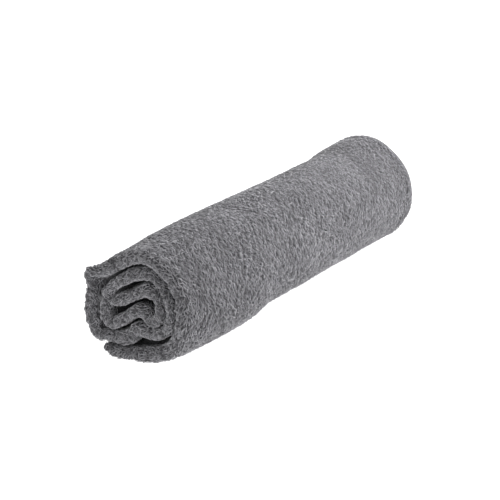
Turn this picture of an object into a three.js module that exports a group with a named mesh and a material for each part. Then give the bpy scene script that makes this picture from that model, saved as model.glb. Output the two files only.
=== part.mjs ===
import * as THREE from 'three';

// A bath towel folded in half both ways into a strip of four plies, and rolled up.
// Millimetres. X runs along the roll, from the end with the folded edges to the end with
// the selvedges. -Y is the front, Z is up, and the origin is under the middle of the roll.

// Driving dimensions
const ROLL_LENGTH = 350; // half of the towel's width
const WINDING_MIDDLE = { across: 1.1, up: 42.5 };
const ROUND_REACH = 50; // where the growths along the roll are measured

const ANGLE_STEP = 12; // between the winding's guide points
const STRIP_STEP = 6.4; // between points along the strip
const TAIL_ROUND = 9; // the strip's two ends round off over these lengths
const CORE_ROUND = 6;
const END_LEAST = 0.5; // what is left of the thickness at the strip's two ends
const FOLD_NOSE = 5; // the folded edges round off over this much of the roll
const SELVEDGE_NOSE = 3;
const NOSE_LEAST = 0.5; // what is left of the thickness at the very edge
const RUFFLE_REACH = 22; // how far in from an end the edge's ruffles go

// Where the edge of one end, 0 or 1, stands out: along the strip, how far, and how wide.
const FLIPS = [
  { end: 0, along: 210, out: 8.5, spread: 8, reach: 13 },
  { end: 0, along: 251, out: 3, spread: 5, reach: 30 },
  { end: 1, along: 140, out: 0.8, spread: 14, reach: 26 },
];

// The underside is pressed flat, and its even strip is the same all along the roll.
const PRESSED_STRIP = { low: 44, high: 66 }; // along the strip, where its waves begin
const PRESSED_FRONT = { low: 15, high: 30 }; // degrees from straight down
const PRESSED_BACK = { low: 32, high: 60 };
const END_LIFT = { high: 1.5, reach: 6 }; // the round ends stand clear of the surface

// The waves of the two edges, along the strip.
const QUICK_WAVES = [
  { length: 37, high: 1, start: 0 },
  { length: 61, high: 0.7, start: 2 },
];
const SLOW_WAVES = [
  { length: 52, high: 1, start: 1 },
  { length: 82, high: 0.6, start: 4 },
];
const FOLD_RUFFLE = { out: 0.35, ahead: 1.1 };
const SELVEDGE_RUFFLE = { out: 0.25, ahead: 0.9 };

// The roll's outside as an egg: its reach from the winding's middle at every 30 degrees,
// from straight down through the front, the top and the back.
const EGG_REACH = [43.7, 45.6, 49.2, 51.9, 50.5, 48.6, 45.2, 42.3, 44.1, 48.1, 51.8, 50.3];

// How the strip winds in from its tail, at angles that go on past 360. The inset is from
// the egg to the strip's middle, and the strip is pressed thinner where it bends.
const WINDING = [
  { angle: -38, inset: 4.5, thick: 8 },
  { angle: -15, inset: 5.3, thick: 9.8 },
  { angle: 30, inset: 6.4, thick: 12.6 },
  { angle: 90, inset: 6.6, thick: 12.8 },
  { angle: 150, inset: 6.4, thick: 12.4 },
  { angle: 200, inset: 6.2, thick: 12 },
  { angle: 250, inset: 6.2, thick: 12 },
  { angle: 285, inset: 5.9, thick: 11.4 },
  { angle: 305, inset: 6.5, thick: 11 },
  { angle: 322, inset: 13.8, thick: 10 },
  { angle: 340, inset: 19.8, thick: 12 },
  { angle: 361, inset: 25.8, thick: 10.4 },
  { angle: 378, inset: 25, thick: 10.6 },
  { angle: 395, inset: 22, thick: 10.2 },
  { angle: 415, inset: 19.8, thick: 9.8 },
  { angle: 450, inset: 19, thick: 8.8 },
  { angle: 485, inset: 19, thick: 9 },
  { angle: 530, inset: 20, thick: 11 },
  { angle: 560, inset: 19.2, thick: 10.6 },
  { angle: 610, inset: 19, thick: 10 },
  { angle: 640, inset: 19, thick: 10 },
];

// The core is an S from the winding's middle: low at the back, up at the front and back
// over the top, where the strip ends.
const CORE = [
  { across: 28.4, up: -15.6, thick: 9.6 },
  { across: 24.2, up: -18, thick: 9.6 },
  { across: 12.4, up: -12.6, thick: 10.8 },
  { across: 6.2, up: -7.6, thick: 11.8 },
  { across: -1.6, up: -4.2, thick: 11.8 },
  { across: -8.1, up: -6, thick: 11 },
  { across: -14.2, up: -8.2, thick: 9.8 },
  { across: -20.2, up: -3.6, thick: 8.8 },
  { across: -22.2, up: 4.6, thick: 8.8 },
  { across: -17.6, up: 11, thick: 9.6 },
  { across: -9.6, up: 13.2, thick: 11.6 },
  { across: 3, up: 9.1, thick: 12.4 },
  { across: 20.6, up: -0.6, thick: 11 },
];

// The sides on which the roll swells or narrows along its length, as angles of the egg.
const LOBES = { crown: 205, front: 100, belly: 45, back: 285 };

// How far each side stands out from the egg, at places along the roll from 0 to 1.
const GROWTH = [
  { at: 0, crown: -2.5, front: -0.5, belly: 0, back: 0 },
  { at: 0.07, crown: -1.2, front: 0.5, belly: 1.2, back: 0 },
  { at: 0.16, crown: 1.4, front: 1, belly: 2.4, back: 0 },
  { at: 0.25, crown: 2.4, front: 1.5, belly: 3, back: 0.5 },
  { at: 0.38, crown: 2.4, front: -0.5, belly: -1.4, back: 1 },
  { at: 0.55, crown: 2, front: -1.6, belly: -0.8, back: 0.5 },
  { at: 0.82, crown: 2.4, front: -2, belly: -0.4, back: 1.5 },
  { at: 0.94, crown: 7.4, front: -1.6, belly: 0, back: 3 },
  { at: 1, crown: 8.6, front: 0, belly: -0.6, back: 2 },
];

// Sections along the roll, closer together where the ends round off.
const STATIONS = [0, 0.0055, 0.02, 0.05, 0.11, 0.2, 0.3, 0.4, 0.52, 0.64, 0.75, 0.85, 0.93, 0.975, 0.993, 1];

const radians = THREE.MathUtils.degToRad;
const ease = (value, low, high) => THREE.MathUtils.smoothstep(value, low, high);
const bump = (offset, spread) => Math.exp(-((offset / spread) ** 2));

function hermite(before, start, end, after, part) {
  const leave = (end - before) / 2;
  const arrive = (after - start) / 2;
  const square = part * part;
  const cube = square * part;
  return (
    (2 * cube - 3 * square + 1) * start +
    (cube - 2 * square + part) * leave +
    (3 * square - 2 * cube) * end +
    (cube - square) * arrive
  );
}

function eggReach(angle) {
  const count = EGG_REACH.length;
  const place = (((angle % 360) + 360) % 360) / (360 / count);
  const index = Math.floor(place);
  const knot = (offset) => EGG_REACH[(index + offset + count) % count];
  return hermite(knot(-1), knot(0), knot(1), knot(2), place - index);
}

// Values between the rows of a table, eased from each row to the next.
function between(rows, key, at) {
  let index = 0;
  while (index < rows.length - 2 && rows[index + 1][key] <= at) {
    index += 1;
  }
  const [low, high] = [rows[index], rows[index + 1]];
  const part = ease(at, low[key], high[key]);
  const mixed = {};
  for (const name of Object.keys(low)) {
    mixed[name] = THREE.MathUtils.lerp(low[name], high[name], part);
  }
  return mixed;
}

// The strip's middle line, from the tail at the back of the underside to the core's end,
// with the thickness in x.
function middleLine() {
  const points = [];
  const lastAngle = WINDING.at(-1).angle;
  for (let angle = WINDING[0].angle; angle <= lastAngle; angle += ANGLE_STEP) {
    const row = between(WINDING, 'angle', angle);
    const reach = eggReach(angle) - row.inset;
    const across = WINDING_MIDDLE.across - reach * Math.sin(radians(angle));
    const up = WINDING_MIDDLE.up - reach * Math.cos(radians(angle));
    points.push(new THREE.Vector3(row.thick, across, up));
  }
  for (const row of CORE) {
    const { across, up } = WINDING_MIDDLE;
    points.push(new THREE.Vector3(row.thick, across + row.across, up + row.up));
  }
  const line = new THREE.CatmullRomCurve3(points, false, 'centripetal');
  line.arcLengthDivisions = 2000;
  return line;
}

// A round end: 0 at the end itself and 1 from `reach` on.
function roundEnd(distance, reach) {
  const short = Math.max(0, 1 - distance / reach);
  return Math.sqrt(1 - short * short);
}

// What the round ends leave of the strip's thickness.
function endShare(along, length) {
  const tail = roundEnd(along, TAIL_ROUND);
  const core = roundEnd(length - along, CORE_ROUND);
  return Math.max(END_LEAST, Math.min(tail, core));
}

function nose(at) {
  const fold = roundEnd(at * ROLL_LENGTH, FOLD_NOSE);
  const selvedge = roundEnd((1 - at) * ROLL_LENGTH, SELVEDGE_NOSE);
  return NOSE_LEAST + (1 - NOSE_LEAST) * Math.min(fold, selvedge);
}

function waveSum(waves, along) {
  let sum = 0;
  for (const wave of waves) {
    sum += wave.high * Math.sin((2 * Math.PI * along) / wave.length + wave.start);
  }
  return sum;
}

// The edges' ruffles, which fade out along the roll, and the corners that flip out.
function ruffle(along, at) {
  const near = bump(at * ROLL_LENGTH, RUFFLE_REACH);
  const far = bump((1 - at) * ROLL_LENGTH, RUFFLE_REACH);
  const quick = waveSum(QUICK_WAVES, along);
  const slow = waveSum(SLOW_WAVES, along);
  let flip = 0;
  for (const row of FLIPS) {
    flip += row.out * bump(along - row.along, row.spread) * bump((at - row.end) * ROLL_LENGTH, row.reach);
  }
  const free = ease(along, PRESSED_STRIP.low, PRESSED_STRIP.high);
  return {
    out: free * (FOLD_RUFFLE.out * near * quick + SELVEDGE_RUFFLE.out * far * slow) + flip,
    ahead: free * (FOLD_RUFFLE.ahead * near * slow + SELVEDGE_RUFFLE.ahead * far * quick),
  };
}

// The least height at this place along the roll.
function clearance(at) {
  const edge = Math.min(at, 1 - at) * ROLL_LENGTH;
  return END_LIFT.high * Math.max(0, 1 - edge / END_LIFT.reach);
}

// Moves a point of the even section out to the roll's shape at this place along it.
function shaped(across, up, growth, least) {
  const front = WINDING_MIDDLE.across - across;
  const rise = up - WINDING_MIDDLE.up;
  const angle = Math.atan2(front, -rise);
  let grown = 0;
  for (const [name, side] of Object.entries(LOBES)) {
    grown += growth[name] * Math.max(0, Math.cos(angle - radians(side))) ** 2;
  }
  const pressed = angle < 0 ? PRESSED_BACK : PRESSED_FRONT;
  grown *= ease(Math.abs(angle), radians(pressed.low), radians(pressed.high));
  const scale = 1 + grown / ROUND_REACH;
  return {
    across: WINDING_MIDDLE.across - front * scale,
    up: Math.max(least, WINDING_MIDDLE.up + rise * scale),
  };
}

function woundStrip() {
  const line = middleLine();
  const length = line.getLength();
  const count = Math.round(length / STRIP_STEP) + 1;
  const positions = [];
  for (const at of STATIONS) {
    const growth = between(GROWTH, 'at', at);
    const least = clearance(at);
    for (const side of [1, -1]) {
      for (let step = 0; step < count; step += 1) {
        const index = side > 0 ? step : count - 1 - step;
        const along = (length * index) / (count - 1);
        const middle = line.getPointAt(index / (count - 1));
        const ahead = line.getTangentAt(index / (count - 1)).setX(0).normalize();
        const wave = ruffle(along, at);
        const off = (side * middle.x * endShare(along, length) * nose(at)) / 2 + wave.out;
        const point = shaped(middle.y - ahead.z * off, middle.z + ahead.y * off, growth, least);
        const x = (at - 0.5) * ROLL_LENGTH + wave.ahead;
        positions.push(x, point.across, point.up);
      }
    }
  }
  const ring = 2 * count;
  const faces = [];
  for (let station = 0; station + 1 < STATIONS.length; station += 1) {
    for (let corner = 0; corner < ring; corner += 1) {
      const next = (corner + 1) % ring;
      const [a, b] = [station * ring + corner, station * ring + next];
      const [c, d] = [a + ring, b + ring];
      faces.push(a, c, b, b, c, d);
    }
  }
  const lastRing = (STATIONS.length - 1) * ring;
  for (let step = 0; step + 1 < count; step += 1) {
    const [outer, outerNext] = [step, step + 1];
    const [inner, innerNext] = [ring - 1 - step, ring - 2 - step];
    faces.push(outer, outerNext, inner, inner, outerNext, innerNext);
    faces.push(lastRing + outer, lastRing + inner, lastRing + outerNext);
    faces.push(lastRing + inner, lastRing + innerNext, lastRing + outerNext);
  }
  const geometry = new THREE.BufferGeometry();
  geometry.setAttribute('position', new THREE.Float32BufferAttribute(positions, 3));
  geometry.setIndex(faces);
  geometry.computeVertexNormals();
  return geometry;
}

const terry = new THREE.MeshStandardMaterial({ color: 0x7f7e82, roughness: 0.95, metalness: 0 });

const roll = new THREE.Mesh(woundStrip(), terry);
roll.name = 'towel_roll';

const towel = new THREE.Group();
towel.add(roll);

export default towel;
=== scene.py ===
# %% [markdown]
# A rolled bath towel
#
# The real thing is one sheet of terry, 70 cm by 111 cm. It is folded in half crosswise, then
# in half lengthwise, and the strip of four plies is rolled up. Two things make it look as it
# does: the thick soft strip that winds in at the end, and the pile, which is thousands of
# small loops of yarn that lie over each other. So the cloth is built as one closed sheet that
# really is folded and wound, and the pile is built as loops, not painted on.

# %% Start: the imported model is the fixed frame
import math

import bpy
import numpy as np
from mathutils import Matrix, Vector


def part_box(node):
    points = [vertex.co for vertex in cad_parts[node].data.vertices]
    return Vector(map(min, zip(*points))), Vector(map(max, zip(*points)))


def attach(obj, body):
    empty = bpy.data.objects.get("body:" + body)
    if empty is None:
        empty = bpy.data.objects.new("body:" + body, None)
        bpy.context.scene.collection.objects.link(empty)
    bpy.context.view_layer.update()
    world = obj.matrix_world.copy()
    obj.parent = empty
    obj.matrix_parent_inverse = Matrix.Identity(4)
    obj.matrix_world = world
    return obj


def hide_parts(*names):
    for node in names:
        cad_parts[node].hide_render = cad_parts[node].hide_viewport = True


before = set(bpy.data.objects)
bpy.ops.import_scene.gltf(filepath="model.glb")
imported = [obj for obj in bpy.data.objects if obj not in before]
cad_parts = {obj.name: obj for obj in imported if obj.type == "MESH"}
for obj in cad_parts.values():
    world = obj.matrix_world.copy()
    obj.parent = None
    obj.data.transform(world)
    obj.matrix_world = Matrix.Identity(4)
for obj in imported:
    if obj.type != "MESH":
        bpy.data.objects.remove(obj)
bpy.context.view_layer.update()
bpy.ops.object.select_all(action="DESELECT")

MM = 0.001
roll_low, roll_high = (Vector(corner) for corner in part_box("towel_roll"))
print(len(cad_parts), "node:", [round(size / MM, 1) for size in roll_high - roll_low], "mm")

# %% [markdown]
# The camera
#
# The photo is a product shot from a little above, with a long lens, so the roll hardly
# narrows towards its far end. A long lens and a far camera give that. The folded end points
# to the camera's left. The camera aims a little beside the roll's middle, because the roll
# isn't in the middle of the picture.

# %% The camera
SENSOR = 36.0  # in millimetres, as the lens is
LENS = 115.2
VIEW_TURN = math.radians(32)  # the view's direction on the floor, from +X towards +Y
VIEW_DIP = math.radians(18.9)  # how steeply it looks down
VIEW_REACH = 1.3  # from the camera to where it aims, in metres
AIM_HEIGHT = 0.045
AIM_LEFT = 0.01
AIM_DOWN = 0.0086

flat_dip = math.cos(VIEW_DIP)
view_ahead = Vector((
    flat_dip * math.cos(VIEW_TURN),
    flat_dip * math.sin(VIEW_TURN),
    -math.sin(VIEW_DIP),
))
view_right = view_ahead.cross(Vector((0, 0, 1))).normalized()
view_up = view_right.cross(view_ahead)
aim = Vector((0, 0, AIM_HEIGHT)) - view_right * AIM_LEFT - view_up * AIM_DOWN

bpy.ops.object.camera_add(location=aim - view_ahead * VIEW_REACH)
camera = bpy.context.object
camera.name = "photo_camera"
camera.data.lens = LENS
camera.data.sensor_width = SENSOR
camera.rotation_euler = view_ahead.to_track_quat("-Z", "Y").to_euler()
bpy.context.scene.camera = camera
print("camera at", [round(place, 3) for place in camera.location])

# %% [markdown]
# The wound strip
#
# The roll's end is one thick strip that winds in from a tail under the roll and ends in an
# S-shaped core. A spiral formula would make it too even. So the strip follows an egg-shaped
# outside, a short table of how deep it lies at each angle, and a few points for the core.
# These are the same tables as the solid's, so that the cloth lies where the solid is. Only
# the edge of the folded end is shaped a little further here. All lengths in the tables are
# in millimetres, and all angles start from straight down and turn towards the front.

# %% The tables of the wound strip
ROLL_LENGTH = 350.0
WINDING_MIDDLE = (1.1, 42.5)  # across, up
ANGLE_STEP = 12  # degrees from one point of the winding to the next
TAIL_ROUND = 9.0  # the strip narrows over this length at the tail
CORE_ROUND = 6.0  # and over this one at its end in the core
END_LEAST = 0.5  # the share of its thickness that is left at either end

# how far the outside is from the winding's middle, at even angles once round
EGG_REACH = np.array([43.7, 45.6, 49.2, 51.9, 50.5, 48.6, 45.2, 42.3, 44.1, 48.1, 51.8, 50.3])

# angle, inset from the egg to the strip's middle, thickness
WINDING = np.array([
    (-38, 4.5, 8.0),
    (-15, 5.3, 9.8),
    (30, 6.4, 12.6),
    (90, 6.6, 12.8),
    (150, 6.4, 12.4),
    (200, 6.2, 12.0),
    (250, 6.2, 12.0),
    (285, 5.9, 11.4),
    (305, 6.5, 11.0),
    (322, 13.8, 10.0),
    (340, 19.8, 12.0),
    (361, 25.8, 10.4),
    (378, 25.0, 10.6),
    (395, 22.0, 10.2),
    (415, 19.8, 9.8),
    (450, 19.0, 8.8),
    (485, 19.0, 9.0),
    (530, 20.0, 11.0),
    (560, 19.2, 10.6),
    (610, 19.0, 10.0),
    (640, 19.0, 10.0),
])

# across and up from the winding's middle, thickness
CORE = np.array([
    (28.4, -15.6, 9.6),
    (24.2, -18.0, 9.6),
    (12.4, -12.6, 10.8),
    (6.2, -7.6, 11.8),
    (-1.6, -4.2, 11.8),
    (-8.1, -6.0, 11.0),
    (-14.2, -8.2, 9.8),
    (-20.2, -3.6, 8.8),
    (-22.2, 4.6, 8.8),
    (-17.6, 11.0, 9.6),
    (-9.6, 13.2, 11.6),
    (3.0, 9.1, 12.4),
    (20.6, -0.6, 11.0),
])

# %% Reading the tables


def ease(value, low, high):
    """0 below low, 1 above high, and a soft step between."""
    part = np.clip((value - low) / (high - low), 0, 1)
    return part * part * (3 - 2 * part)


def bump(offset, spread):
    """A soft hump, 1 in the middle."""
    return np.exp(-((offset / spread) ** 2))


def between(rows, at):
    """Values between the rows of a table, eased from each row to the next."""
    keys = rows[:, 0]
    low = np.clip(np.searchsorted(keys, at, side="right") - 1, 0, len(keys) - 2)
    part = ease(at, keys[low], keys[low + 1])[..., None]
    return rows[low, 1:] * (1 - part) + rows[low + 1, 1:] * part


def egg_reach(angle):
    """How far the roll's outside is from the winding's middle."""
    count = len(EGG_REACH)
    place = np.mod(angle, 360) / (360 / count)
    index = np.floor(place).astype(int)
    part = place - index
    before, start, end, after = (EGG_REACH[(index + step) % count] for step in (-1, 0, 1, 2))
    leave = (end - before) / 2
    arrive = (after - start) / 2
    blend_start = 2 * part**3 - 3 * part**2 + 1
    return (
        blend_start * start
        + (part**3 - 2 * part**2 + part) * leave
        + (1 - blend_start) * end
        + (part**3 - part**2) * arrive
    )


def round_end(distance, reach):
    """A round end: 0 at the end itself and 1 from `reach` on."""
    short = np.clip(1 - distance / reach, 0, 1)
    return np.sqrt(1 - short * short)


print("outside", EGG_REACH.min(), "to", EGG_REACH.max(), "mm from the winding's middle")

# %% [markdown]
# The strip's middle line is a smooth curve through the tables' points. A centripetal
# Catmull-Rom curve is used, because it passes through every point and makes no loops where
# points lie close together. The line is made of many short steps, and everything else looks
# its place up by the distance along the strip.

# %% The strip's middle line
CURVE_STEPS = 40  # from one point of the tables to the next


def smooth_line(points):
    """A centripetal Catmull-Rom curve through the points."""
    before = 2 * points[0] - points[1]
    after = 2 * points[-1] - points[-2]
    knots = np.vstack([before, points, after])
    part = np.linspace(0, 1, CURVE_STEPS, endpoint=False)[:, None]
    pieces = []
    for index in range(len(points) - 1):
        p0, p1, p2, p3 = knots[index : index + 4]
        d0, d1, d2 = (np.linalg.norm(b - a) ** 0.5 for a, b in ((p0, p1), (p1, p2), (p2, p3)))
        leave = ((p1 - p0) / d0 - (p2 - p0) / (d0 + d1) + (p2 - p1) / d1) * d1
        arrive = ((p2 - p1) / d1 - (p3 - p1) / (d1 + d2) + (p3 - p2) / d2) * d1
        cubic = 2 * p1 - 2 * p2 + leave + arrive
        square = -3 * p1 + 3 * p2 - 2 * leave - arrive
        pieces.append(cubic * part**3 + square * part**2 + leave * part + p1)
    return np.vstack(pieces + [points[-1:]])


def strip_points():
    """The strip's thickness, and its place across and up, at the points of the tables."""
    angles = np.arange(WINDING[0, 0], WINDING[-1, 0] + 1, ANGLE_STEP)
    inset, thick = between(WINDING, angles).T
    reach = egg_reach(angles) - inset
    turn = np.radians(angles)
    across = WINDING_MIDDLE[0] - reach * np.sin(turn)
    up = WINDING_MIDDLE[1] - reach * np.cos(turn)
    wound = np.column_stack([thick, across, up])
    core_across, core_up, core_thick = CORE.T
    core = np.column_stack([core_thick, core_across + WINDING_MIDDLE[0], core_up + WINDING_MIDDLE[1]])
    return np.vstack([wound, core])


guide = strip_points()
line = smooth_line(guide)
line_steps = np.linalg.norm(np.diff(line, axis=0), axis=1)
line_along = np.concatenate([[0], np.cumsum(line_steps)])
STRIP_LENGTH = line_along[-1]
line_slope = np.gradient(line[:, 1:], line_along, axis=0)
line_slope /= np.linalg.norm(line_slope, axis=1, keepdims=True)
print("strip", round(STRIP_LENGTH, 1), "mm long, through", len(guide), "points")

# %% [markdown]
# The roll isn't the same all along: it is fuller at the front near the folded end, slimmer
# past the middle, and flares at the far end, where the selvedges are loose. Scaling the whole
# section could not do that, so four soft lobes of it grow and shrink on their own. The
# underside takes no part, because the roll's own weight presses it flat.

# %% How the roll grows and shrinks along its length
LOBE_ANGLES = np.radians([205, 100, 45, 285])  # crown, front, belly, back
ROUND_REACH = 50.0  # the roll's usual half height, which the growth is measured against
PRESSED_FRONT = np.radians([15, 30])  # from straight down, where the growth sets in
PRESSED_BACK = np.radians([32, 60])

# place along the roll from 0 to 1, then how far crown, front, belly and back stand out
GROWTH = np.array([
    (0.00, -2.5, -0.5, 0.0, 0.0),
    (0.07, -1.2, 0.5, 1.2, 0.0),
    (0.16, 1.4, 1.0, 2.4, 0.0),
    (0.25, 2.4, 1.5, 3.0, 0.5),
    (0.38, 2.4, -0.5, -1.4, 1.0),
    (0.55, 2.0, -1.6, -0.8, 0.5),
    (0.82, 2.4, -2.0, -0.4, 1.5),
    (0.94, 7.4, -1.6, 0.0, 3.0),
    (1.00, 8.6, 0.0, -0.6, 2.0),
])


def shaped(across, up, at):
    """Moves points of the even section out to the roll's shape at their place along it."""
    front = WINDING_MIDDLE[0] - across
    rise = up - WINDING_MIDDLE[1]
    angle = np.arctan2(front, -rise)
    growth = between(GROWTH, at)
    grown = sum(
        growth[..., lobe] * np.maximum(0, np.cos(angle - LOBE_ANGLES[lobe])) ** 2
        for lobe in range(len(LOBE_ANGLES))
    )
    grown = grown * np.where(angle < 0, ease(-angle, *PRESSED_BACK), ease(angle, *PRESSED_FRONT))
    scale = 1 + grown / ROUND_REACH
    return WINDING_MIDDLE[0] - front * scale, WINDING_MIDDLE[1] + rise * scale


print("growth", GROWTH[:, 1:].min(), "to", GROWTH[:, 1:].max(), "mm, at", len(GROWTH), "places")

# %% [markdown]
# The edges of both ends wave, as they do on cloth that was rolled by hand. Sums of sines with
# unlike lengths look uneven enough. In a few places an edge stands out further, such as the
# corner at the front of the folded end, or is drawn in. A folded edge of terry is also soft
# and lumpy, the tail's corner stands ahead of the other turns, and where the strip is pinched
# thinner the dark pockets between the turns open. All this fades out a few centimetres in.

# %% The waves of the edges
RUFFLE_REACH = 22.0  # how far in from either end the waves go
QUICK_WAVES = ((37, 1.0, 0), (61, 0.7, 2))  # length, height, start
SLOW_WAVES = ((52, 1.0, 1), (82, 0.6, 4))
FOLD_RUFFLE = (0.35, 1.1)  # out from the strip, ahead along the roll
SELVEDGE_RUFFLE = (0.25, 0.9)
PRESSED_STRIP = (44, 66)  # along the strip, where its waves begin

# Where an edge stands out, or is drawn in where the third number is less than 0: the end
# (0 is the folded one), place along the strip, how far, spread along it, reach into the roll
FLIPS = (
    (0, 210, 10.0, 8.0, 13),
    (0, 251, 3.0, 5.0, 30),
    (1, 140, 0.8, 14.0, 26),
    (0, 106, -5.0, 30.0, 26),
    (0, 342, -2.8, 24.0, 26),
    (0, 538, -1.3, 10.0, 18),
)


def wave_sum(waves, along):
    """Uneven waves along the strip."""
    return sum(high * np.sin(2 * np.pi * along / length + start) for length, high, start in waves)


def ruffle(along, at):
    """How far the edges wave out from the strip, and ahead along the roll."""
    near = bump(at * ROLL_LENGTH, RUFFLE_REACH)
    far = bump((1 - at) * ROLL_LENGTH, RUFFLE_REACH)
    quick, slow = wave_sum(QUICK_WAVES, along), wave_sum(SLOW_WAVES, along)
    flip = sum(
        high * bump(along - place, spread) * bump((at - end) * ROLL_LENGTH, reach)
        for end, place, high, spread, reach in FLIPS
    )
    free = ease(along, *PRESSED_STRIP)
    out = free * (FOLD_RUFFLE[0] * near * quick + SELVEDGE_RUFFLE[0] * far * slow) + flip
    ahead = free * (FOLD_RUFFLE[1] * near * slow + SELVEDGE_RUFFLE[1] * far * quick)
    return out, ahead


print(len(FLIPS), "places where an edge stands out or is drawn in")

# %% The lumps and pinches of the folded end
FOLD_LUMPS = ((9.7, 0.7, 0.4), (6.1, 0.5, 2.6), (23.9, 0.9, 4.4))  # length, height, start
AHEAD_STRETCH, AHEAD_SHIFT = 1.37, 5  # makes other lumps for ahead from the same waves
LUMP_REACH = 9.0  # how far in from the folded end the lumps go
LUMP_OUT, LUMP_AHEAD = 0.25, 0.6
LUMP_PUFF, LUMP_UNEVEN = 0.3, 0.5  # the edge is puffed up by this much, and how unevenly
TAIL_AHEAD = 2.5  # how far the tail's corner stands out of the roll's end
TAIL_ALONG, TAIL_SPREAD, TAIL_REACH = 15, 22, 22

# place along the strip, share of the thickness taken (or added, where less than 0), spread
# along the strip, reach into the roll
PINCHES = (
    (14, -0.14, 14.0, 14),
    (344, 0.5, 24.0, 20),
    (408, 0.2, 16.0, 16),
    (465, 0.3, 9.0, 18),
    (538, 0.34, 11.0, 18),
)


def lumps(along, at):
    """How far the folded edge's lumps stand out from the strip and ahead along the roll, how far
    the tail stands out of the roll's end, and how far the edge is puffed up."""
    lump = wave_sum(FOLD_LUMPS, along)
    other = wave_sum(FOLD_LUMPS, along * AHEAD_STRETCH + AHEAD_SHIFT)
    soft = bump(at * ROLL_LENGTH, LUMP_REACH)
    tail = TAIL_AHEAD * bump(along - TAIL_ALONG, TAIL_SPREAD) * bump(at * ROLL_LENGTH, TAIL_REACH)
    puff = LUMP_PUFF * soft * (1 + LUMP_UNEVEN * lump)
    return LUMP_OUT * soft * lump, LUMP_AHEAD * soft * other, tail, puff


def pinch(along, at):
    """How much of the strip's thickness is left where the folded end is pinched."""
    return 1 - sum(
        part * bump(along - place, spread) * bump(at * ROLL_LENGTH, reach)
        for place, part, spread, reach in PINCHES
    )


print("pinched by", max(row[1] for row in PINCHES), "of its thickness at most")

# %% [markdown]
# The cloth in the strip
#
# The pile takes up part of the strip's thickness: on the outer turn the loops are loose and
# stand about 2 mm high, and inside the roll they are pressed flat. So the cloth itself is
# thinner than the solid. A place in the cloth is given by three numbers: how far along the
# strip, how far along the roll, and a share from -1 to 1 of the way through the strip. One
# function turns these into a point, and no two plies can ever cross, because each keeps its
# own share.

# %% A place in the strip
OUTER_TURN = 270.0  # the length of strip that shows on the outside
OUTER_EASE = 18.0  # over the last of it the pile goes from loose to pressed
UNDER_TURN = (38, 74)  # where the strip leaves the underside
FAR_RIM = (0.965, 0.99)  # places along the roll where the loose pile thins out
TOP_ALONG, TOP_SPREAD = 170.0, 55.0  # the top of the roll, where the pile lies flatter
TOP_FLAT = 0.35  # by this share
LOOSE_PILE, PRESSED_PILE, INNER_PILE = 1.2, 0.5, 0.45  # room left for the loops
FLOOR_GAP = 0.15  # between the cloth and what it lies on


def along_line(values, along):
    """The middle line's values at places along the strip."""
    return [np.interp(along, line_along, column) for column in values.T]


def strip_place(along, at, share):
    """Points, in metres, at these places of the wound strip."""
    inside = np.clip(along, 0, STRIP_LENGTH)
    thick, across, up = along_line(line, inside)
    slope_across, slope_up = along_line(line_slope, inside)
    shown = ease(OUTER_TURN - along, 0, OUTER_EASE) * ease(along, *UNDER_TURN)
    shown = shown * (1 - ease(at, *FAR_RIM)) * (1 - TOP_FLAT * bump(along - TOP_ALONG, TOP_SPREAD))
    loose = PRESSED_PILE + (LOOSE_PILE - PRESSED_PILE) * shown
    end = np.minimum(round_end(inside, TAIL_ROUND), round_end(STRIP_LENGTH - inside, CORE_ROUND))
    half = (thick - loose - INNER_PILE) / 2 * np.maximum(END_LEAST, end) * pinch(along, at)
    out, ahead = ruffle(along, at)
    lump_out, lump_ahead, tail_ahead, puff = lumps(along, at)
    off = share * (half + puff) - (loose - INNER_PILE) / 2 + (out + lump_out)
    past = along - inside  # a little beyond either end
    across = across + slope_across * past - slope_up * off
    up = up + slope_up * past + slope_across * off
    across, up = shaped(across, up, at)
    length = (at - 0.5) * ROLL_LENGTH + (ahead + lump_ahead - tail_ahead)
    return np.stack([length, across, np.maximum(FLOOR_GAP, up)], axis=-1) * MM


middle_end = strip_place(STRIP_LENGTH, 0.5, 0)
print("the strip ends in the core at", [round(float(place / MM), 1) for place in middle_end], "mm")

# %% [markdown]
# The folded sheet
#
# From the outside in the plies are a1, b1, b2 and a2. Half A of the towel is outside and half
# B is inside it, because the crosswise fold was made first. The lengthwise fold joins a1 to
# a2 and b1 to b2 at the near end. The crosswise fold joins A to B at the tail. Both folds are
# half ellipses. A place on the flat towel has two numbers, `width` from the lengthwise fold
# and `length` from the crosswise fold, and each of the sheet's two faces has its own share.

# %% From the flat towel to the strip
HALF_WIDTH = ROLL_LENGTH  # the towel's, from the lengthwise fold to a selvedge
PLY_SHARES = (0.75, 0.25)  # where half A and half B lie in the strip
PLY_HALF = 0.215  # half of a ply's own thickness, as a share
NOSE_ARC = 8.0  # flat cloth in half of the lengthwise fold
NOSE_DEPTH = 5.4  # how far the lengthwise fold's round edge reaches
NOSE_INSET = 1.0  # the loops stand this far out from it
TAIL_ARC = 5.0  # flat cloth in half of the crosswise fold
TAIL_DEPTH = 3.6  # how far the crosswise fold's round edge reaches
TAIL_INSIDE = 0.1  # the share of that depth for the face inside the fold
SELVEDGE_STEP = (2.5, 5.5)  # how far in the thin selvedge becomes full cloth
SELVEDGE_THIN = 0.5  # a selvedge has this share of a ply's thickness
SELVEDGE_SLIPS = ((-0.3, -1.8), (-2.6, -0.6))  # a1 and b1, then a2 and b2
QUARTER_TURN = np.radians(90)


def ply_share(half, face):
    """The share of one face of half A (0) or B (1). Face 1 is outside on half A."""
    side = face if half == 0 else -face
    return PLY_SHARES[half] + side * PLY_HALF


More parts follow.
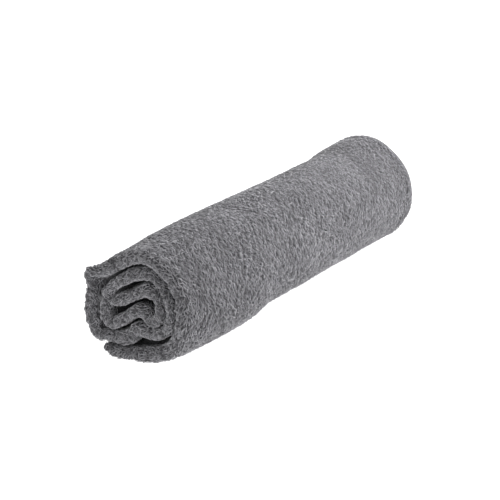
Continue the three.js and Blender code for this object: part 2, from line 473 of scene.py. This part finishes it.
def fold_place(width, face, half):
    """Where a ply's face lies around the lengthwise fold: place along the roll, and share."""
    nose = QUARTER_TURN * np.clip(width / NOSE_ARC, -1, 1)
    share = ply_share(half, face)
    inner = ease(HALF_WIDTH - np.abs(width), *SELVEDGE_STEP)
    thin = (1 - inner) * (1 - SELVEDGE_THIN) * (share - PLY_SHARES[half])
    depth = NOSE_DEPTH * share / ply_share(0, 1)
    slip_front, slip_back = SELVEDGE_SLIPS[0][half], SELVEDGE_SLIPS[1][half]
    slip = np.where(width > 0, slip_front, slip_back)
    beyond = np.maximum(0, np.abs(width) - NOSE_ARC)
    full = HALF_WIDTH - NOSE_ARC
    reach = ROLL_LENGTH - NOSE_INSET - NOSE_DEPTH + slip
    x = NOSE_INSET + NOSE_DEPTH - depth * np.cos(nose) + beyond / full * reach
    return x / ROLL_LENGTH, (share - thin) * np.sin(nose)


def cloth_place(width, length, face):
    """Points of a face of the folded, rolled towel. Half A has length < 0."""
    turn = QUARTER_TURN * np.clip(length / TAIL_ARC, -1, 1)
    mix = (1 + np.sin(turn)) / 2
    at_a, share_a = fold_place(width, face, 0)
    at_b, share_b = fold_place(width, face, 1)
    at = at_a + (at_b - at_a) * mix
    share = share_a + (share_b - share_a) * mix
    depth = TAIL_DEPTH if face > 0 else TAIL_DEPTH * TAIL_INSIDE
    beyond = np.maximum(0, np.abs(length) - TAIL_ARC)
    full = STRIP_LENGTH - TAIL_ARC
    along = TAIL_DEPTH - depth * np.cos(turn) + beyond / full * (STRIP_LENGTH - TAIL_DEPTH)
    return strip_place(along, at, share)


print("flat towel", 2 * HALF_WIDTH, "by", round(2 * STRIP_LENGTH), "mm")

# %% [markdown]
# The sheet's mesh is two grids, one for each face, sewn together along the selvedges and the
# hems. Lines are close where the cloth turns or shows, and far apart inside the roll. The
# flat towel is also a good map for its pattern, with the two faces side by side, so the mesh
# gets it as its UV map.

# %% The folded sheet's mesh
MAP_NAME = "OFBake"  # the name of the sheet's and the pile's UV map
MAP_HALF = 0.5  # each face of the sheet has half of the map
MAP_EDGE = 0.004  # left bare around it
MAP_SLIT = MAP_EDGE / 4  # the height that the faces between the two grids have on the map
NEAR_SELVEDGE = HALF_WIDTH - 7  # from here on the grid is finer again

# how far from its fold each stretch of the grid goes, and how far apart its lines are
ACROSS_STEPS = ((NOSE_ARC, 1.6), (60, 3.4), (300, 7.5), (NEAR_SELVEDGE, 5), (HALF_WIDTH, 2.2))
HALF_A_STEPS = ((TAIL_ARC, 1.3), (STRIP_LENGTH, 3))
HALF_B_STEPS = ((TAIL_ARC, 1.3), (STRIP_LENGTH, 6.4))


def spaced(stretches):
    """Places from 0 on, evenly spaced within each stretch."""
    places = []
    low = 0
    for high, step in stretches:
        places.append(np.linspace(low, high, max(1, round((high - low) / step)), endpoint=False))
        low = high
    return np.concatenate(places + [[low]])


def widths():
    """The grid's lines across the towel, from one selvedge to the other."""
    half = spaced(ACROSS_STEPS)
    return np.concatenate([-half[:0:-1], half])


def lengths():
    """The grid's lines along the towel, from half A's hem over the fold to half B's."""
    return np.concatenate([-spaced(HALF_A_STEPS)[::-1], spaced(HALF_B_STEPS)[1:]])


print("grid", len(widths()), "lines across,", len(lengths()), "lines along")

# %% Sewing the two grids together


def grid_quads(rows, columns, first):
    """The faces of a grid of points, from its first point's number."""
    numbers = first + np.arange(rows * columns).reshape(rows, columns)
    corners = [numbers[:-1, :-1], numbers[:-1, 1:], numbers[1:, 1:], numbers[1:, :-1]]
    return np.stack(corners, axis=-1).reshape(-1, 4)


def rim(rows, columns):
    """The numbers of a grid's outer points, once round."""
    numbers = np.arange(rows * columns).reshape(rows, columns)
    return np.concatenate([numbers[0, :-1], numbers[:-1, -1], numbers[-1, :0:-1], numbers[:0:-1, 0]])


def mesh_object(name, points, corners, totals, maps):
    """A smooth mesh object from arrays: points, each face's corners, and the corners' map."""
    mesh = bpy.data.meshes.new(name)
    mesh.vertices.add(len(points))
    mesh.vertices.foreach_set("co", points.astype(np.float32).ravel())
    mesh.loops.add(len(corners))
    mesh.loops.foreach_set("vertex_index", corners.astype(np.int32))
    mesh.polygons.add(len(totals))
    starts = np.concatenate([[0], np.cumsum(totals)[:-1]])
    mesh.polygons.foreach_set("loop_start", starts.astype(np.int32))
    mesh.polygons.foreach_set("loop_total", totals.astype(np.int32))
    layer = mesh.uv_layers.new(name=MAP_NAME)
    mesh.update(calc_edges=True)
    layer.uv.foreach_set("vector", maps.astype(np.float32).ravel())
    mesh.polygons.foreach_set("use_smooth", np.ones(len(totals), dtype=bool))
    mesh.validate()
    made = bpy.data.objects.new(name, mesh)
    bpy.context.scene.collection.objects.link(made)
    return made


def flat_map(width, length):
    """Places on the map: the towel's two faces, flat and side by side."""
    share_across = (width / HALF_WIDTH + 1) / 2
    share_down = (length / STRIP_LENGTH + 1) / 2
    left = MAP_EDGE + (MAP_HALF - 2 * MAP_EDGE) * share_across
    low = MAP_EDGE + (1 - 2 * MAP_EDGE) * share_down
    face = np.stack([left, low], axis=-1).reshape(-1, 2)
    return np.vstack([face, face + (MAP_HALF, 0)])


def folded_sheet():
    """The whole towel as one closed sheet."""
    width, length = np.meshgrid(widths(), lengths())
    rows, columns = width.shape
    count = rows * columns
    outer = cloth_place(width, length, 1).reshape(-1, 3)
    inner = cloth_place(width, length, -1).reshape(-1, 3)
    edge = rim(rows, columns)
    next_edge = np.roll(edge, -1)
    front = grid_quads(rows, columns, 0)
    back = grid_quads(rows, columns, count)[:, ::-1]
    sides = np.stack([edge, edge + count, next_edge + count, next_edge], axis=-1)
    quads = np.vstack([front, back, sides])
    places = flat_map(width, length)
    maps = places[quads]
    maps[-len(sides):] = places[sides[:, :1]]
    maps[-len(sides):, 2:, 1] += MAP_SLIT
    points = np.vstack([outer, inner])
    totals = np.full(len(quads), 4)
    return mesh_object("towel_sheet", points, quads.ravel(), totals, maps.reshape(-1, 2))


towel = folded_sheet()
print("sheet", 2 * len(towel.data.polygons), "triangles")

# %% [markdown]
# The pile
#
# Terry's pile is loops of soft yarn. After a wash they don't stand in rows: each one falls
# over in its own direction, and what shows is a mat of short bent strands, less than 1 mm
# thick and 3 to 6 mm long. A bump pattern gives a flat skin with a smooth outline, so the
# strands are real. One strand is modelled as a three-sided sphere of four rings, and each
# copy is bent to its own arch with both ends under the cloth. There are about 47 000, so a
# strand has only 18 triangles, and the copies are made as arrays in a few joined meshes.
# Blender lists a new sphere's points and faces in another order in each run, so both are
# sorted, and the meshes come out the same every time.

# %% One strand of pile
bpy.ops.mesh.primitive_uv_sphere_add(segments=3, ring_count=4, radius=1)
pattern = bpy.context.object
sphere_points = np.array([point.co[:] for point in pattern.data.vertices])
sphere_map = [tuple(corner.uv) for corner in pattern.data.uv_layers[0].data]
place_order = np.lexsort(sphere_points.round(3).T)
new_numbers = np.argsort(place_order)
pattern_points = sphere_points[place_order]
pattern_faces = sorted(
    [
        (int(new_numbers[point]), sphere_map[loop])
        for point, loop in zip(face.vertices, face.loop_indices)
    ]
    for face in pattern.data.polygons
)
pattern_corners = np.array([number for face in pattern_faces for number, place in face])
pattern_totals = np.array([len(face) for face in pattern_faces])
pattern_map = np.array([place for face in pattern_faces for number, place in face])
bpy.data.objects.remove(pattern)
print("strand", len(pattern_points), "points,", sum(pattern_totals - 2), "triangles")

# %% Where the strands lie
SPREAD_STEP = 0.4  # how far aside the cloth's own directions are measured
JITTER = 0.45  # how far a strand is moved off its row, as a share of the rows' distance


def scattered(rng, low, high, pitch):
    """Uneven rows of places over a stretch of the flat towel."""
    columns = np.arange(low[0], high[0], pitch[0])
    rows = np.arange(low[1], high[1], pitch[1])
    width, length = np.meshgrid(columns, rows)
    width = width + rng.uniform(-JITTER, JITTER, width.shape) * pitch[0]
    length = length + rng.uniform(-JITTER, JITTER, length.shape) * pitch[1]
    return width.ravel(), length.ravel()


def unit(vectors):
    """The vectors' directions, each 1 long."""
    return vectors / np.linalg.norm(vectors, axis=1, keepdims=True)


def cloth_frame(width, length):
    """Points on the pile face, with the directions around the roll, along it and outwards."""
    here = cloth_place(width, length, 1)
    around = cloth_place(width, length + SPREAD_STEP, 1) - cloth_place(width, length - SPREAD_STEP, 1)
    along = cloth_place(width + SPREAD_STEP, length, 1) - cloth_place(width - SPREAD_STEP, length, 1)
    around, along = unit(around), unit(along)
    out = unit(np.cross(around, along))
    return here, around, np.cross(out, around), out


# %% Bending the strands
RING_SPREAD = 0.3  # keeps the strand's end rings clear of its tips
STRAND_LONG = (3.0, 6.2)
STRAND_HALF = (0.31, 0.47)  # half of its thickness
STRAND_HIGH = (0.2, 1.0)  # as a share of the pile's height
LEAN_SPREAD = 0.45  # how unevenly single strands lean aside
HOOK_SPREAD = 0.55  # and how far their ends hook to either side
ROOT_DEPTH = 0.35  # how deep the ends are under the cloth's face


def strands(rng, width, length, rise, swirl, turn, tuft):
    """Points of bent strands at places of the towel. Rise is their height in millimetres, turn
    how far they lie from the way around the roll, and swirl how unevenly, in radians. Tuft is
    how far neighbours lean aside together."""
    here, around, along, out = cloth_frame(width, length)
    count = len(width)

    def draw(low, high):
        return rng.uniform(low, high, count)[:, None]

    turn = turn + rng.normal(0, 1, count)[:, None] * swirl
    ahead = around * np.cos(turn) + along * np.sin(turn)
    aside = np.cross(out, ahead)
    reach = draw(*STRAND_LONG) * MM
    thick = draw(*STRAND_HALF) * MM
    high = rise * draw(*STRAND_HIGH) * MM
    lean = tuft + rng.normal(0, LEAN_SPREAD, count)[:, None]
    hook = rng.normal(0, HOOK_SPREAD, count)[:, None] * MM
    points = []
    for x, y, z in pattern_points:
        part = z * (1 - RING_SPREAD * (1 - abs(z)))
        arch = math.cos(part * math.pi / 2)
        centre = ahead * reach * part / 2 + out * (high * arch - ROOT_DEPTH * MM)
        centre = centre + aside * (lean * high * arch + hook * math.sin(part * math.pi))
        points.append(here + centre + (out * y + aside * x) * thick)
    return np.stack(points, axis=1)


# %% Joining the strands
CELL_EDGE = 0.06  # left bare around a strand's cell of the map
PILE_FLOOR = 0.1 * MM  # no strand dips below this height


def pile_piece(name, points, tones):
    """Joins bent strands into one mesh, each with its own tone and its own cell of the map."""
    count, size = points.shape[:2]
    corners = (pattern_corners[None] + size * np.arange(count)[:, None]).ravel()
    side = math.ceil(math.sqrt(count))
    cells = np.stack([np.arange(count) % side, np.arange(count) // side], axis=-1)
    maps = (cells[:, None] + CELL_EDGE + (1 - 2 * CELL_EDGE) * pattern_map[None]) / side
    flat = points.reshape(-1, 3)
    flat[:, 2] = np.maximum(flat[:, 2], PILE_FLOOR)
    made = mesh_object(name, flat, corners, np.tile(pattern_totals, count), maps.reshape(-1, 2))
    tone = made.data.attributes.new("tone", "FLOAT", "POINT")
    tone.data.foreach_set("value", np.repeat(tones, size).astype(np.float32))
    return made


# %% [markdown]
# The strands are scattered over the flat towel wherever it will show: over the outer turn,
# and at the folded end over the first millimetres of every turn. The pile isn't the same
# everywhere. It stands loose on the outer turn and is pressed on the inner ones, lies flatter
# and less in order on top, hangs in rows down the front, and is smoother towards the far end.
# So a few soft regions are made, and each value of the pile is a sum over the regions.

# %% Where the pile grows
OUTSIDE_PITCH = (1.05, 2.2)  # between strands, across the towel and along it
END_PITCH = (1.15, 1.9)
END_REACH = 14.0  # how far from the lengthwise fold the inner turns have pile
SELVEDGE_BARE = 2.0  # the loops stop this far before the selvedge
TAIL_SHARE = 0.6  # the share of the crosswise fold that has the outside's pile

pile_random = np.random.default_rng(41)
tail_end = TAIL_ARC * TAIL_SHARE
bare_from = HALF_WIDTH - SELVEDGE_BARE
outside = scattered(pile_random, (0, -OUTER_TURN), (bare_from, tail_end), OUTSIDE_PITCH)
wound_in = scattered(pile_random, (-END_REACH, -STRIP_LENGTH), (END_REACH, -OUTER_TURN), END_PITCH)
tucked = scattered(pile_random, (-END_REACH, -OUTER_TURN), (0, TAIL_ARC), END_PITCH)
width, length = (np.concatenate(parts) for parts in zip(outside, wound_in, tucked))
print(len(width), "strands")

# %% The regions of the pile
LOOSE_FROM = (-4, 2)  # across the lengthwise fold, where the loose pile begins
FOLD_SPREAD = 9  # how far from that fold its rounded edge reaches
FRONT_ALONG, FRONT_SPREAD = 90.0, 35.0  # along the strip
FAR_STRETCH = (180, 330)  # along the roll

loose = ease(-length, OUTER_TURN, OUTER_TURN - OUTER_EASE) * ease(width, *LOOSE_FROM)
fold_edge = bump(width, FOLD_SPREAD)
regions = {
    "all": 1.0,
    "loose": loose,
    "folded": fold_edge * (1 - loose),
    "top": bump(-length - TOP_ALONG, TOP_SPREAD),
    "front": bump(-length - FRONT_ALONG, FRONT_SPREAD),
    "far": ease(width, *FAR_STRETCH),
}


def over_regions(amounts):
    """A value at each strand: the sum of what the regions give it."""
    return sum(amount * regions[name] for name, amount in amounts.items())


for name in regions:
    print("region", name, round(float(np.mean(regions[name])), 2), "of the strands")

# %% Uneven patches
PATCH_WAVES = 9  # sines with random directions, added up
PATCH_SIZES = (30, 80)
TUFT_SIZES = (4.5, 10)


def patches(rng, sizes):
    """Soft uneven patches over the strands, mostly from -1 to 1. Sizes are in millimetres."""
    total = 0
    low, high = (0, sizes[0], 0), (2 * np.pi, sizes[1], 2 * np.pi)
    for way, wave, start in rng.uniform(low, high, (PATCH_WAVES, 3)):
        place = width * np.cos(way) + length * np.sin(way)
        total = total + np.sin(place * 2 * np.pi / wave + start)
    return total / math.sqrt(PATCH_WAVES)


# %% The strands' heights, directions and tones
# Heights are in millimetres, swirl and turn in radians, and tones from 0, dark, to 1, light
PILE_HEIGHT = {"all": 0.7, "loose": 1.25, "folded": 0.6}
HEIGHT_CHANGE = {"all": 1.0, "top": -0.2, "front": 0.15, "far": -0.15}
PATCHY_HEIGHT = 0.15
FOLD_PRESS = 0.35  # the share by which the loose pile is lower at the folded edge
SWIRL = {"all": 0.3, "top": 0.15, "folded": 0.5, "front": -0.12}
PATCHY_TURN = 0.35
TUFTS = 0.9
TUFT_CHANGE = {"all": 1.0, "far": -0.45}
# the far end's strands are a little darker: painted shade that evens out the main lamp's light along
# the roll
TONE_MIDDLE = {"all": 0.51, "far": -0.04}
TONE_SPREAD = {"all": 0.42, "top": -0.17, "far": -0.14}
PATCHY_TONE = 0.05

rise = over_regions(PILE_HEIGHT) * (1 + PATCHY_HEIGHT * patches(pile_random, PATCH_SIZES))
rise = rise * (1 - FOLD_PRESS * loose * fold_edge) * over_regions(HEIGHT_CHANGE)
swirl = over_regions(SWIRL)
turn = PATCHY_TURN * patches(pile_random, PATCH_SIZES)
tuft = TUFTS * patches(pile_random, TUFT_SIZES) * over_regions(TUFT_CHANGE)
bent = strands(pile_random, width, length, *(part[:, None] for part in (rise, swirl, turn, tuft)))

shade = patches(pile_random, PATCH_SIZES)
tones = over_regions(TONE_MIDDLE) + pile_random.normal(0, 1, len(bent)) * over_regions(TONE_SPREAD)
tones = np.clip(tones + PATCHY_TONE * shade, 0, 1)
print("pile", round(rise.min(), 2), "to", round(rise.max(), 2), "mm high, tone", round(tones.mean(), 2))

# %% The pile's pieces
PILE_STRETCHES = 5  # a piece may have 200 000 triangles, so the pile is cut along the roll

order = np.argsort(width, kind="stable")
pile = []
for number, chosen in enumerate(np.array_split(order, PILE_STRETCHES)):
    piece = pile_piece(f"terry_pile_{number + 1}", bent[chosen], tones[chosen])
    pile.append(piece)
    print(piece.name, len(chosen), "strands,", len(piece.data.polygons), "faces")

# %% [markdown]
# Finishes
#
# Cotton terry has no gloss: light sinks into the pile, and the fuzz at its edges catches a
# little of it. The grey isn't one colour either, because each loop took the dye a little
# differently, and the strands towards the far end are a little darker as painted shade. Sums on
# sockets are written as Python expressions through a small class, and every other node comes
# from one method.

# %% A small kit for finishes


class Value:
    """A socket of numbers. Sums on it add Math nodes."""

    def __init__(self, nodes, socket):
        self.nodes = nodes
        self.socket = socket

    def math(self, operation, first, second):
        node = self.nodes.node("ShaderNodeMath", {"operation": operation}, {0: first, 1: second})
        return Value(self.nodes, node.outputs[0])

    def __add__(self, other):
        return self.math("ADD", self, other)

    def __radd__(self, other):
        return self.math("ADD", other, self)

    def __sub__(self, other):
        return self.math("SUBTRACT", self, other)

    def __rsub__(self, other):
        return self.math("SUBTRACT", other, self)

    def __mul__(self, other):
        return self.math("MULTIPLY", self, other)

    def __rmul__(self, other):
        return self.math("MULTIPLY", other, self)


class Nodes:
    """The node tree of a material or a sky, emptied first."""

    def __init__(self, owner):
        owner.use_nodes = True
        self.tree = owner.node_tree
        self.tree.nodes.clear()

    def node(self, kind, settings=None, sockets=None):
        """Adds a node: its settings first, then the values or links of its sockets."""
        node = self.tree.nodes.new(kind)
        for key, value in (settings or {}).items():
            setattr(node, key, value)
        for key, value in (sockets or {}).items():
            if isinstance(value, Value):
                self.tree.links.new(value.socket, node.inputs[key])
            elif isinstance(value, bpy.types.NodeSocket):
                self.tree.links.new(value, node.inputs[key])
            else:
                node.inputs[key].default_value = value
        return node


class Finish(Nodes):
    """A material under way."""

    def __init__(self, name):
        self.material = bpy.data.materials.new(name)
        super().__init__(self.material)

    def places(self):
        """Places on the piece, in metres."""
        return self.node("ShaderNodeTexCoord").outputs["Object"]

    def noise(self, scale, detail=2.0):
        """Noise from 0 to 1, with features of about one part in `scale` of a metre."""
        sockets = {"Vector": self.places(), "Scale": scale, "Detail": detail}
        return Value(self, self.node("ShaderNodeTexNoise", None, sockets).outputs["Fac"])

    def mix(self, share, first, second):
        """A colour between two colours. Sockets 6 and 7 of a Mix node are its colours."""
        sockets = {"Factor": share, 6: first, 7: second}
        return self.node("ShaderNodeMix", {"data_type": "RGBA"}, sockets).outputs[2]

    def relief(self, height, strength, distance):
        """A bump for the shader's Normal."""
        sockets = {"Strength": strength, "Distance": distance, "Height": height}
        return self.node("ShaderNodeBump", None, sockets).outputs[0]

    def surface(self, **sockets):
        """The cloth's own shader, joined to the output."""
        named = {key.replace("_", " "): value for key, value in sockets.items()}
        shader = self.node("ShaderNodeBsdfPrincipled", None, named)
        self.node("ShaderNodeOutputMaterial", None, {"Surface": shader.outputs[0]})
        return self.material


# %% The pile's finish
PILE_DARK = (0.12, 0.118, 0.126, 1)
PILE_LIGHT = (0.48, 0.475, 0.502, 1)
PILE_SHARES = (0.7, 0.3, 0.3)  # of the strand's tone, the dye and the fibres
PILE_DARKER = 0.15
DYE_SCALE = 22
FIBRE_SCALE, FIBRE_DETAIL = 1900, 3
COTTON = {"Roughness": 0.95, "Sheen_Roughness": 0.6, "Specular_IOR_Level": 0.1}


def pile_finish():
    """Soft grey yarn: each loop has its own tone, which holds painted shade towards the far end, and
    the dye varies from place to place.
    """
    finish = Finish("terry_pile_grey")
    tone = Value(finish, finish.node("ShaderNodeAttribute", {"attribute_name": "tone"}).outputs["Fac"])
    dye = finish.noise(DYE_SCALE)
    fibres = finish.noise(FIBRE_SCALE, FIBRE_DETAIL)
    share = tone * PILE_SHARES[0] + dye * PILE_SHARES[1] + fibres * PILE_SHARES[2] - PILE_DARKER
    return finish.surface(
        Base_Color=finish.mix(share, PILE_DARK, PILE_LIGHT),
        Normal=finish.relief(fibres, strength=0.35, distance=0.3 * MM),
        Sheen_Weight=0.25,
        **COTTON,
    )


pile_grey = pile_finish()
for piece in pile:
    piece.data.materials.append(pile_grey)
print(pile_grey.name, "on", len(pile), "pieces")

# %% [markdown]
# Under the pile is the ground weave, and inside the roll the loops are pressed into it. The
# sheet's finish is the cloth's grey made darker as painted shade, for the cloth that shows
# between the loops, and darker still in the gaps between its pressed loops, with small pressed
# loops as bump. Bump is enough here, because this cloth shows only between the strands, in the
# dark pockets of the roll and along the selvedges at the far end.

# %% The ground cloth's finish
# the cloth's grey, made darker as painted shade where it shows between the loops
GROUND_DARK = (0.045, 0.044, 0.048, 1)
GROUND_LIGHT = (0.115, 0.113, 0.121, 1)
GROUND_SHARES = (0.6, 0.4, 0.4)  # of the grain, the dye and the painted shade in the gaps between loops
GROUND_LIGHTER = 0.1
LOOP_SCALE = 520.0
GRAIN_SCALE, GRAIN_DETAIL = 900, 3
GRAIN_RELIEF = 0.3


def ground_finish():
    """Grey cloth with pressed loops, made darker as painted shade, most in the gaps between them."""
    finish = Finish("terry_ground_grey_painted_shade")
    sockets = {"Vector": finish.places(), "Scale": LOOP_SCALE, "Randomness": 1.0}
    gaps = Value(finish, finish.node("ShaderNodeTexVoronoi", None, sockets).outputs["Distance"])
    grain = finish.noise(GRAIN_SCALE, GRAIN_DETAIL)
    dye = finish.noise(DYE_SCALE)
    # the gaps between loops take colour away: painted shade
    share = grain * GROUND_SHARES[0] + dye * GROUND_SHARES[1] - gaps * GROUND_SHARES[2] + GROUND_LIGHTER
    return finish.surface(
        Base_Color=finish.mix(share, GROUND_DARK, GROUND_LIGHT),
        Normal=finish.relief(1 - gaps + grain * GRAIN_RELIEF, strength=0.8, distance=0.8 * MM),
        Sheen_Weight=0.2,
        **COTTON,
    )


ground_grey = ground_finish()
towel.data.materials.append(ground_grey)
print(ground_grey.name, "on", towel.name)

# %% [markdown]
# Floor and light
#
# The photo's towel lies on pure white with hardly a shadow. So the floor is a grey that
# shines white by itself, and a shadow takes little from it. The sky looks white to the
# camera, but lights the towel much less than it looks, because an even light from all sides
# would leave the roll flat.

# %% Floor and sky
FLOOR_SIZE = 14.0
PAPER_GREY = (0.25, 0.25, 0.25, 1)
PAPER_GLOW = 1.1
WHITE = (1, 1, 1, 1)
SKY_LIGHT = 0.3  # how strongly the sky lights the scene
SKY_SEEN = 1.0  # and how bright the camera sees it

bpy.ops.mesh.primitive_plane_add(size=FLOOR_SIZE)
floor = bpy.context.object
floor.name = "studio_floor"
paper = Finish("white_paper").surface(
    Base_Color=PAPER_GREY,
    Roughness=0.8,
    Emission_Color=WHITE,
    Emission_Strength=PAPER_GLOW,
)
floor.data.materials.append(paper)

world = bpy.data.worlds.new("white_sky")
sky = Nodes(world)
seen = sky.node("ShaderNodeLightPath").outputs["Is Camera Ray"]
sockets = {"Value": seen, "To Min": SKY_LIGHT, "To Max": SKY_SEEN}
strength = sky.node("ShaderNodeMapRange", None, sockets).outputs["Result"]
background = sky.node("ShaderNodeBackground", None, {"Color": WHITE, "Strength": strength})
sky.node("ShaderNodeOutputWorld", None, {"Surface": background.outputs[0]})
bpy.context.scene.world = world
print("floor", FLOOR_SIZE, "m wide, sky", len(sky.tree.nodes), "nodes")

# %% [markdown]
# The roll's gentle shading comes from one soft lamp, high up on the camera's right, which
# lights the front and the top. The folded end faces away from it, so a small weak lamp low
# down at that end keeps it from going dark.

# %% The lamps
LAMP_PLACE = (0.62, -0.72, 0.97)
LAMP_SIZE = 0.5
LAMP_WATTS = 28.6
FILL_PLACE = (-0.8, -0.1, 0.06)
FILL_SIZE = 0.2
FILL_WATTS = 1.08


def soft_lamp(name, place, size, watts):
    """A square lamp that shines at the roll."""
    bpy.ops.object.light_add(type="AREA", location=place)
    lamp = bpy.context.object
    lamp.name = name
    lamp.data.size = size
    lamp.data.energy = watts
    lamp.rotation_euler = (aim - lamp.location).to_track_quat("-Z", "Y").to_euler()


soft_lamp("main_lamp", LAMP_PLACE, LAMP_SIZE, LAMP_WATTS)
soft_lamp("low_fill", FILL_PLACE, FILL_SIZE, FILL_WATTS)

bpy.context.scene.view_settings.view_transform = "Standard"
print("main lamp at", LAMP_PLACE, "and fill at", FILL_PLACE)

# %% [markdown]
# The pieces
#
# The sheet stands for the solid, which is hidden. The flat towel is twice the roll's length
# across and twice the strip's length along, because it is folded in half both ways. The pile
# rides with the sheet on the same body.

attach(towel, "root")
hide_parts("towel_roll")
for piece in pile:
    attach(piece, "root")
